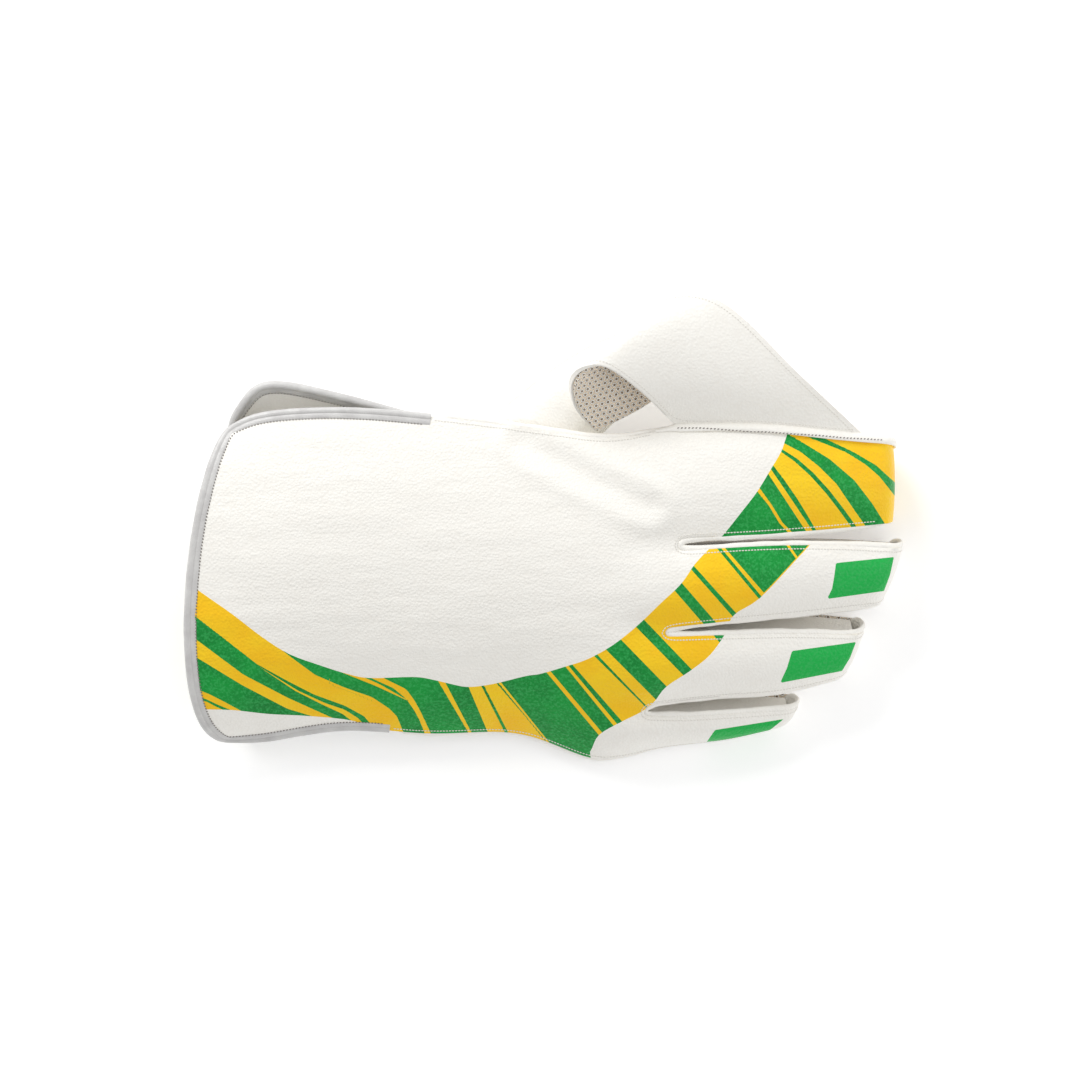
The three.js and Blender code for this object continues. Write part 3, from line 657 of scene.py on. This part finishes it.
rubber, tree, shader = new_material("dimpled_rubber", 0.6, 0.3)
sheet_places = tree.nodes.new("ShaderNodeUVMap")
sheet_places.uv_map = "sheet"
pattern = put_group(tree, dimples, Place=sheet_places.outputs[0], Pitch=DIMPLE_PITCH)
stain = rescale(tree, noise_node(tree, object_places(tree), 90.0, 3.0), 0.35, 0.7)
ground = mix_colours(tree, stain, srgb(250, 234, 212), srgb(240, 222, 198))
# Painted highlight and shade: the raised rings are coloured lighter and the sunken dimple holes darker than
# the ground.
colour = mix_colours(tree, pattern.outputs["Ring"], ground, srgb(255, 253, 247))
colour = mix_colours(tree, pattern.outputs["Hole"], colour, srgb(160, 138, 116))
tree.links.new(colour, shader.inputs["Base Color"])
bump(tree, shader, pattern.outputs["Height"], 0.0006)


def lay_pattern(piece):
    """Flattens the sheet, so that its pattern keeps its size over the curves."""
    activate(piece)
    bpy.ops.object.mode_set(mode="EDIT")
    bpy.ops.mesh.select_all(action="SELECT")
    layer = piece.data.uv_layers.new(name="sheet")
    piece.data.uv_layers.active = layer
    bpy.ops.uv.unwrap(method="ANGLE_BASED", margin=0.0)
    bpy.ops.uv.average_islands_scale()
    bpy.ops.object.mode_set(mode="OBJECT")
    mesh = piece.data
    layer = mesh.uv_layers["sheet"]
    flat = np.empty(len(mesh.loops) * 2)
    layer.data.foreach_get("uv", flat)
    flat = flat.reshape(-1, 2)
    real_area = sum(p.area for p in mesh.polygons)
    flat_area = 0.0
    for p in mesh.polygons:
        corners = flat[p.loop_start : p.loop_start + p.loop_total]
        nexts = np.roll(corners, -1, axis=0)
        flat_area += abs(float((corners[:, 0] * nexts[:, 1] - nexts[:, 0] * corners[:, 1]).sum())) / 2
    flat *= math.sqrt(real_area / flat_area)
    layer.data.foreach_set("uv", flat.ravel())


for node, name, levels, wall, flat, held in (
    ("palm_facing", "palm_rubber", 2, PALM_RUBBER_WALL, (0.16, 0.235), "stretched"),
    ("web_facing", "web_rubber", 3, LEATHER_WALL, (0.07, 0.13), "folded"),
):
    piece = smooth_copy(node, name, levels, wall)
    lay_pattern(piece)
    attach(piece, "root")
    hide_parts(node)
    give(piece, rubber)

# Welts of the fingers and of the hand
# Where two pieces of leather meet, their edges are turned out and sewn together, which leaves a thin
# rounded ridge along the seam. A row of white stitches runs beside it.
WELT_WIDE = 0.0016
WELT_HIGH = 0.0012
STITCH_PITCH = 0.00145


def unit(vectors):
    return vectors / np.maximum(np.linalg.norm(vectors, axis=-1, keepdims=True), 1e-12)


def new_piece(name, places, faces, material):
    mesh = bpy.data.meshes.new(name)
    mesh.from_pydata(np.asarray(places).tolist(), [], [list(map(int, face)) for face in faces])
    mesh.update()
    piece = bpy.data.objects.new(name, mesh)
    bpy.context.scene.collection.objects.link(piece)
    activate(piece)
    bpy.ops.object.shade_smooth_by_angle(angle=SHARP_EDGE)
    give(piece, material)
    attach(piece, "root")
    return piece


def swept(path, ups, wide, high, sides=10, closed=False):
    """Places and faces of a rounded strip along a path; wide and high are half its size at each place."""
    if closed:
        along = unit(np.roll(path, -1, axis=0) - np.roll(path, 1, axis=0))
    else:
        along = unit(np.gradient(path, axis=0))
    side = unit(np.cross(ups, along))
    up = np.cross(along, side)
    turn = np.linspace(0, 2 * np.pi, sides, endpoint=False)
    wide = np.broadcast_to(wide, len(path))[:, None, None]
    high = np.broadcast_to(high, len(path))[:, None, None]
    across, upwards = np.cos(turn)[None, :, None], np.sin(turn)[None, :, None]
    rings = path[:, None] + side[:, None] * across * wide + up[:, None] * upwards * high
    faces = []
    count = len(path)
    for r in range(count if closed else count - 1):
        s = (r + 1) % count
        for k in range(sides):
            m = (k + 1) % sides
            faces.append((r * sides + k, r * sides + m, s * sides + m, s * sides + k))
    if not closed:
        faces.append(tuple(range(sides - 1, -1, -1)))
        faces.append(tuple((count - 1) * sides + k for k in range(sides)))
    return rings.reshape(-1, 3), faces


def run_length(path):
    return np.concatenate([[0.0], np.cumsum(np.linalg.norm(np.diff(path, axis=0), axis=1))])


def respaced(path, spacing, *others):
    """The path, and values along it, at even steps."""
    length = run_length(path)
    count = max(2, int(round(length[-1] / spacing)) + 1)
    at = np.linspace(0, length[-1], count)
    out = []
    for values in (path, *others):
        out.append(np.stack([np.interp(at, length, values[:, k]) for k in range(values.shape[1])], axis=1))
    return out


def chained(edges):
    """The edges joined into chains of corners, the longest first."""
    left = dict.fromkeys(edges)
    chains = []
    while left:
        edge = next(iter(left))
        del left[edge]
        chain = list(edge.verts)
        onward = True
        while onward:
            onward = [e for e in chain[-1].link_edges if e in left]
            if onward:
                del left[onward[0]]
                chain.append(onward[0].other_vert(chain[-1]))
        chains.append(chain)
    return sorted(chains, key=len, reverse=True)


def cut_edge(node):
    """The outer cut edge of a wall, in order, with the direction that the wall faces along it."""
    piece = plain_copy(node, "pattern")
    mesh = bmesh.new()
    mesh.from_mesh(piece.data)
    rims = cut_faces(mesh, LEATHER_WALL)
    loops = []
    for chain in chained([e for e in mesh.edges if sum(f in rims for f in e.link_faces) == 1])[:2]:
        loop = chain[:-1] if chain[0] == chain[-1] else chain
        facing = [[f.normal for f in v.link_faces if f not in rims] for v in loop]
        ways = [sum(normals, Vector()).normalized() for normals in facing]
        loops.append(([v.co[:] for v in loop], [way[:] for way in ways]))
    places, ways = max(loops, key=lambda pair: sum(way[2] for way in pair[1]))
    mesh.free()
    bpy.data.objects.remove(piece)
    return np.array(places), np.array(ways)


def rounded(values, steps, closed=True):
    """A smooth line through the middle of a chain's spans, as a smoothed wall's edge is."""
    count = len(values)
    rows = []
    for i in range(count if closed else count - 1):
        near = [i + k for k in (-1, 0, 1, 2)]
        a, b, c, d = (values[n % count if closed else min(max(n, 0), count - 1)] for n in near)
        for step in range(steps):
            t = step / steps
            before, after = 3 * t**3 - 6 * t**2 + 4, -3 * t**3 + 3 * t**2 + 3 * t + 1
            rows.append(((1 - t) ** 3 * a + before * b + after * c + t**3 * d) / 6)
    return np.array(rows)


def tree_of(piece):
    mesh = piece.data
    places = [v.co.copy() for v in mesh.vertices]
    return BVHTree.FromPolygons(places, [tuple(p.vertices) for p in mesh.polygons])


def on_surface(line, tree, rise=0.00005):
    """The nearest places on a surface, and the directions it faces there."""
    places, ways = [], []
    for place in line:
        near, way, _, _ = tree.find_nearest(Vector(place))
        places.append(np.array(near) + np.array(way) * rise)
        ways.append(way[:])
    return np.array(places), np.array(ways)


edge_places, edge_ways = cut_edge("back_panel")
edge_line = rounded(edge_places, 6)
edge_up = unit(rounded(edge_ways, 6))
edge_view = seen(edge_line)
# The line is turned so that it starts where the binding of the cuff ends on the thumb side
BINDING_ENDS = ((437, 415), (391, 737))
edge = np.hstack([edge_line, edge_up, edge_view])
start = int(np.argmin(np.hypot(*(edge_view - BINDING_ENDS[0]).T)))
edge = np.roll(edge, -start, axis=0)
if edge[20, 6] < edge[0, 6]:
    edge = np.roll(edge[::-1], 1, axis=0)
edge_line, edge_up, edge_view = edge[:, :3], edge[:, 3:6], edge[:, 6:]
finish = int(np.argmin(np.hypot(*(edge_view - BINDING_ENDS[1]).T)))
welt_line, welt_up = respaced(edge_line[:finish], 0.0011, edge_up[:finish])
welt_view = seen(welt_line)
welt_out = unit(np.cross(welt_up, unit(np.gradient(welt_line, axis=0))))
# Where the welt gets thinner, and between which fingers a seam lies, in points of the view
INDEX_TIP_START, INDEX_FOOT = 868, 530
MIDDLE_TOP = 560
WEB_START, WEB_FOOT = 640, 455
FINGER_GAPS = (541, 622, 704)
CROTCH_START = 640
index_tip = np.clip((welt_view[:, 0] - INDEX_TIP_START) / 12, 0, 1) * (welt_view[:, 1] < INDEX_FOOT)
other_tips = (welt_view[:, 1] > MIDDLE_TOP) * np.clip((welt_out[:, 0] - 0.5) / 0.3, 0, 1)
beside_web = np.clip((welt_view[:, 0] - WEB_START) / 20, 0, 1) * (welt_view[:, 1] < WEB_FOOT)
count = len(welt_line)
ripple = np.array([noise.noise(Vector((s * 0.11, 3.1, 0.4))) for s in range(count)])
ends = np.clip(np.minimum(np.arange(count), np.arange(count)[::-1]) / 5, 0.15, 1)
welt_size = (1 - 0.5 * index_tip - 0.3 * other_tips - 0.3 * beside_web) * (1 + 0.2 * ripple) * ends
# The seam lies beside the cut edge, a little under the back's outer face
welt_middle = welt_line + welt_out * (0.0009 * welt_size)[:, None] - welt_up * 0.0011
places, faces = swept(welt_middle, welt_up, WELT_WIDE * welt_size, WELT_HIGH * welt_size)
welt = new_piece("seam_welt", places, faces, white_leather)

# The thumb is sewn from two halves, so that a welt runs round its side, half-way up
THUMB_WELT_WIDE = 0.0012
thumb = bmesh.new()
thumb.from_mesh(leather["thumb_stall"].data)
low, high = (pick(v.co.z for v in thumb.verts) for pick in (min, max))
whole = thumb.verts[:] + thumb.edges[:] + thumb.faces[:]
half_way_up = (0, 0, (low + high) / 2)
cut = bmesh.ops.bisect_plane(thumb, geom=whole, plane_co=half_way_up, plane_no=(0, 0, 1))["geom_cut"]
outer = chained([e for e in cut if isinstance(e, bmesh.types.BMEdge)])[0]
thumb_line = respaced(np.array([v.co[:] for v in outer]), 0.0011)[0]
thumb.free()
thumb_way = np.array(on_surface(thumb_line, tree_of(leather["thumb_stall"]), 0.0)[1])
thumb_way[:, 2] = 0
thumb_way = unit(thumb_way)
ends = np.clip(np.minimum(np.arange(len(thumb_line)), np.arange(len(thumb_line))[::-1]) / 5, 0.15, 1)
places, faces = swept(thumb_line + thumb_way * 0.0003, thumb_way, 0.0009 * ends, THUMB_WELT_WIDE * ends)
new_piece("thumb_welt", places, faces, white_leather)

# One stitch, modelled once and then laid along every seam
bpy.ops.object.select_all(action="DESELECT")
bpy.ops.mesh.primitive_uv_sphere_add(segments=6, ring_count=4, radius=1.0)
one_stitch = bpy.context.object
activate(one_stitch)
bpy.ops.object.mode_set(mode="EDIT")
bpy.ops.mesh.select_all(action="SELECT")
bpy.ops.transform.rotate(value=math.radians(90), orient_axis="Y", center_override=(0, 0, 0))
bpy.ops.object.mode_set(mode="OBJECT")
STITCH_PLACES = places_of(one_stitch)
STITCH_FACES = [tuple(p.vertices) for p in one_stitch.data.polygons]
bpy.data.objects.remove(one_stitch)

thread, tree, shader = new_material("thread", 0.7, 0.2)
twist = noise_node(tree, object_places(tree), 2500.0, 1.0)
tree.links.new(mix_colours(tree, twist, srgb(246, 244, 238), srgb(222, 218, 210)), shader.inputs["Base Color"])
# Thread whose dark grey is painted shade: it stands in for the shade in the needle holes of the strap's and
# the bindings' stitch rows.
hole_shade_thread, tree, shader = new_material("thread_with_painted_hole_shade", 0.7, 0.2)
twist = noise_node(tree, object_places(tree), 2500.0, 1.0)
tree.links.new(mix_colours(tree, twist, srgb(150, 144, 140), srgb(112, 106, 102)), shader.inputs["Base Color"])


STITCH_LONG = 0.0006
STITCH_WIDE = 0.0003
STITCH_HIGH = 0.00026


def stitches(name, line, ups, material, pitch=STITCH_PITCH, long=STITCH_LONG, wide=STITCH_WIDE, lean=0.0):
    """A row of stitches along a line, all in one piece."""
    line, ups = respaced(line, pitch, ups)
    along = unit(np.gradient(line, axis=0))
    side = unit(np.cross(ups, along))
    up = np.cross(along, side)
    if lean:
        along, side = unit(along + lean * side), unit(side - lean * along)
    shape = STITCH_PLACES
    places = (
        line[:, None]
        + along[:, None] * (shape[:, 0] * long)[None, :, None]
        + side[:, None] * (shape[:, 1] * wide)[None, :, None]
        + up[:, None] * (shape[:, 2] * STITCH_HIGH)[None, :, None]
    )
    faces = [tuple(k + n * len(shape) for k in face) for n in range(len(line)) for face in STITCH_FACES]
    return new_piece(name, places.reshape(-1, 3), faces, material)


back_tree = tree_of(back)
row = welt_line - welt_out * 0.0017
past_crotch = welt_view[:, 0] > CROTCH_START
finger = np.searchsorted(FINGER_GAPS, welt_view[:, 1], side="right")
rows = {
    "index_and_hand": finger == 0,
    "middle": (finger == 1) & past_crotch,
    "ring": (finger == 2) & past_crotch,
    "little_and_hand": finger == 3,
}
for title, chosen in rows.items():
    chosen = chosen & (beside_web < 0.5) & (index_tip < 0.5)
    line, ways = on_surface(row[chosen], back_tree)
    line_ways = np.where(ways[:, 2:] < 0, -ways, ways)
    cuts = np.flatnonzero(np.linalg.norm(np.diff(line, axis=0), axis=1) > 0.006) + 1
    for n, (part, part_ways) in enumerate(zip(np.split(line, cuts), np.split(line_ways, cuts))):
        if len(part) > 4:
            stitches(f"stitches_{title}_{n}", part, part_ways, thread)

# Folded edge between the web and the index finger
# The web's edge is folded into a flat strap of leather. It is laid on the index finger's seam
# and sewn through with a row of stitches, whose dark grey is painted shade of their needle holes.
STRAP_WIDE = 0.0025
STRAP_HIGH = 0.0012
chosen = (welt_view[:, 0] > 655) & (welt_view[:, 1] < 447) & (welt_view[:, 0] < 893) & (welt_out[:, 0] < 0.5)
strap_line = welt_line[chosen] + welt_up[chosen] * 0.0006 - welt_out[chosen] * 0.0006
strap_up = unit(welt_up[chosen] + 0.2 * welt_out[chosen])
count = len(strap_line)
ripple = np.array([noise.noise(Vector((s * 0.07, 9.1, 2.4))) for s in range(count)])
ends = np.clip(np.minimum(0.25 + np.arange(count) / 14, (count - np.arange(count)) / 3), 0.2, 1)
wide = STRAP_WIDE * ends * (1 + 0.1 * ripple)
places, faces = swept(strap_line, strap_up, wide, STRAP_HIGH * ends, sides=12)
strap = new_piece("web_strap", places, faces, white_leather)
STRAP_STITCH_LINE = [
    (678, 428), (699, 428), (717, 429), (743, 431), (769, 432), (795, 434), (820, 435.5), (846, 438),
    (868, 439), (882, 440),
]


def dropped(line, tree):
    """Places and outward directions where a line given in points of the view falls on a surface."""
    places, ways = [], []
    for across, down in line:
        ray = Vector(((across - 540) / VIEW_REACH, (540 - down) / VIEW_REACH, -1)).normalized()
        place, way, _, _ = tree.ray_cast(CAMERA_PLACE, ray)
        if place is not None:
            places.append(place[:])
            ways.append((way if way.z > 0 else -way)[:])
    return np.array(places), np.array(ways)


layers = [tree_of(piece) for piece in (leather["web"], strap, back)]
on_top, ways_on_top = [], []
for point in respaced(np.array(STRAP_STITCH_LINE), 1.5)[0]:
    hits = [dropped([point], tree) for tree in layers]
    hits = [(places[0], ways[0]) for places, ways in hits if len(places)]
    if hits:
        place, way = max(hits, key=lambda hit: hit[0][2])
        on_top.append(place + way * 0.00012)
        ways_on_top.append(way)
on_top = rounded(np.array(on_top), 2, closed=False)
ways_on_top = unit(rounded(np.array(ways_on_top), 2, closed=False))
stitches(
    "stitches_strap", on_top, ways_on_top, hole_shade_thread,
    pitch=0.0017, long=0.00055, wide=0.00028, lean=0.6,
)

# Bindings of the cuff
# A strip of grey vinyl is folded over the cut edge of each flap of the cuff, with a rounded edge
# and a flat lip inside it. One row of stitches beside the lip sews it down; their dark grey is painted shade
# of the needle holes.
vinyl, tree, shader = new_material("grey_vinyl", 0.34, 0.5)
place = object_places(tree)
grains = put_group(tree, grain, Place=place, Pebbles=1500.0, Lines=0.2)
worn = rescale(tree, noise_node(tree, place, 120.0, 4.0, 0.6), 0.35, 0.7)
tree.links.new(mix_colours(tree, worn, srgb(212, 211, 209), srgb(194, 192, 191)), shader.inputs["Base Color"])
bump(tree, shader, grains.outputs["Height"], 0.00012)

BINDING_WIDE = 0.0019
BINDING_HIGH = 0.0021
LIP_WIDE = 0.0024
LIP_HIGH = 0.00145
LIP_INSET = 0.0024
BINDING_INSET = 0.0042
WRIST_SEAM = -0.056
flap_places, flap_ways = cut_edge("palm_cuff")
flap_line = rounded(flap_places, 6)
flap_up = unit(rounded(flap_ways, 6))
chosen = flap_line[:, 0] < WRIST_SEAM
# The flap's free edge starts where the line leaves the wrist's seam, wherever the loop itself starts
first = int(np.flatnonzero(chosen & ~np.roll(chosen, 1))[0])
flap_line, flap_up = (np.roll(values, -first, axis=0)[: int(chosen.sum())] for values in (flap_line, flap_up))
for node, name, flap, edge, edge_ups in (
    ("back_cuff_binding", "back_cuff", back, edge_line[finish:], edge_up[finish:]),
    ("palm_cuff_binding", "palm_cuff", leather["palm_cuff"], flap_line, flap_up),
):
    line, ups = respaced(edge, 0.0012, edge_ups)
    out = unit(np.cross(ups, unit(np.gradient(line, axis=0))))
    out *= np.sign((out * (line - line.mean(axis=0))).sum())
    middle = line - ups * LEATHER_WALL / 2 - out * 0.0002
    ripple = 1 + 0.06 * np.array([noise.noise(Vector((s * 0.13, 5.3, 1.7))) for s in range(len(line))])
    places, faces = swept(middle, ups, BINDING_WIDE * ripple, BINDING_HIGH * ripple, sides=14)
    middle = line - ups * LEATHER_WALL / 2 - out * LIP_INSET
    lip_places, lip_faces = swept(middle, ups, LIP_WIDE * ripple, LIP_HIGH * ripple, sides=14)
    faces += [tuple(k + len(places) for k in face) for face in lip_faces]
    strip = new_piece(name + "_vinyl", np.vstack([places, lip_places]), faces, vinyl)
    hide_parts(node)
    line, ups = respaced(edge, 0.002, edge_ups)
    out = unit(np.cross(ups, unit(np.gradient(line, axis=0))))
    out *= np.sign((out * (line - line.mean(axis=0))).sum())
    line, ways = on_surface((line - out * BINDING_INSET)[2:-2], tree_of(flap), rise=0.00015)
    ways = np.where((ways * ups[2:-2]).sum(axis=1, keepdims=True) < 0, -ways, ways)
    stitches(
        "stitches_" + name, line, ways, hole_shade_thread,
        pitch=0.0015, long=0.00048, wide=0.00032, lean=0.3,
    )

# Stitching of the web
# The web's leather and its rubber lining are sewn together with white thread, a little inside
# their cut edge.
web_places, web_ways = cut_edge("web")
web_line = rounded(web_places, 6)
web_up = unit(rounded(web_ways, 6))
web_tree = tree_of(leather["web"])
line, ups = respaced(np.vstack([web_line, web_line[:1]]), 0.001, np.vstack([web_up, web_up[:1]]))
out = unit(np.cross(ups, unit(np.gradient(line, axis=0))))
inwards = np.sign((out * (line - line.mean(axis=0))).sum())
line, ways = on_surface(line - out * inwards * 0.0022, web_tree)
ways = np.where((ways * ups).sum(axis=1, keepdims=True) < 0, -ways, ways)
stitches("stitches_web", line, ways, thread, pitch=0.0016, long=0.00055)

# Floor, light and background
# A plain white floor that glows a little, under an even white sky. One large soft lamp stands
# on the thumb's side and a weaker one beyond the fingertips.
bpy.ops.mesh.primitive_plane_add(size=6)
floor = bpy.context.object
floor.name = "floor"
paper, tree, shader = new_material("paper", 0.9, 0.1)
shader.inputs["Base Color"].default_value = srgb(250, 250, 250)
shader.inputs["Emission Color"].default_value = (1.0, 1.0, 1.0, 1.0)
shader.inputs["Emission Strength"].default_value = 0.25
give(floor, paper)

world = bpy.data.worlds.new("studio")
bpy.context.scene.world = world
world.use_nodes = True
world.node_tree.nodes["Background"].inputs["Color"].default_value = (1, 1, 1, 1)
world.node_tree.nodes["Background"].inputs["Strength"].default_value = 0.62
bpy.context.scene.view_settings.view_transform = "Standard"


def add_lamp(name, place, size, power):
    data = bpy.data.lights.new(name, "AREA")
    data.size = size
    data.energy = power
    lamp = bpy.data.objects.new(name, data)
    bpy.context.scene.collection.objects.link(lamp)
    lamp.location = place
    lamp.rotation_euler = (-Vector(place)).to_track_quat("-Z", "Y").to_euler()


add_lamp("key_lamp", (-0.8, 1.5, 0.95), 0.9, 22)
add_lamp("fill_lamp", (1.3, -0.1, 0.9), 1.2, 5)
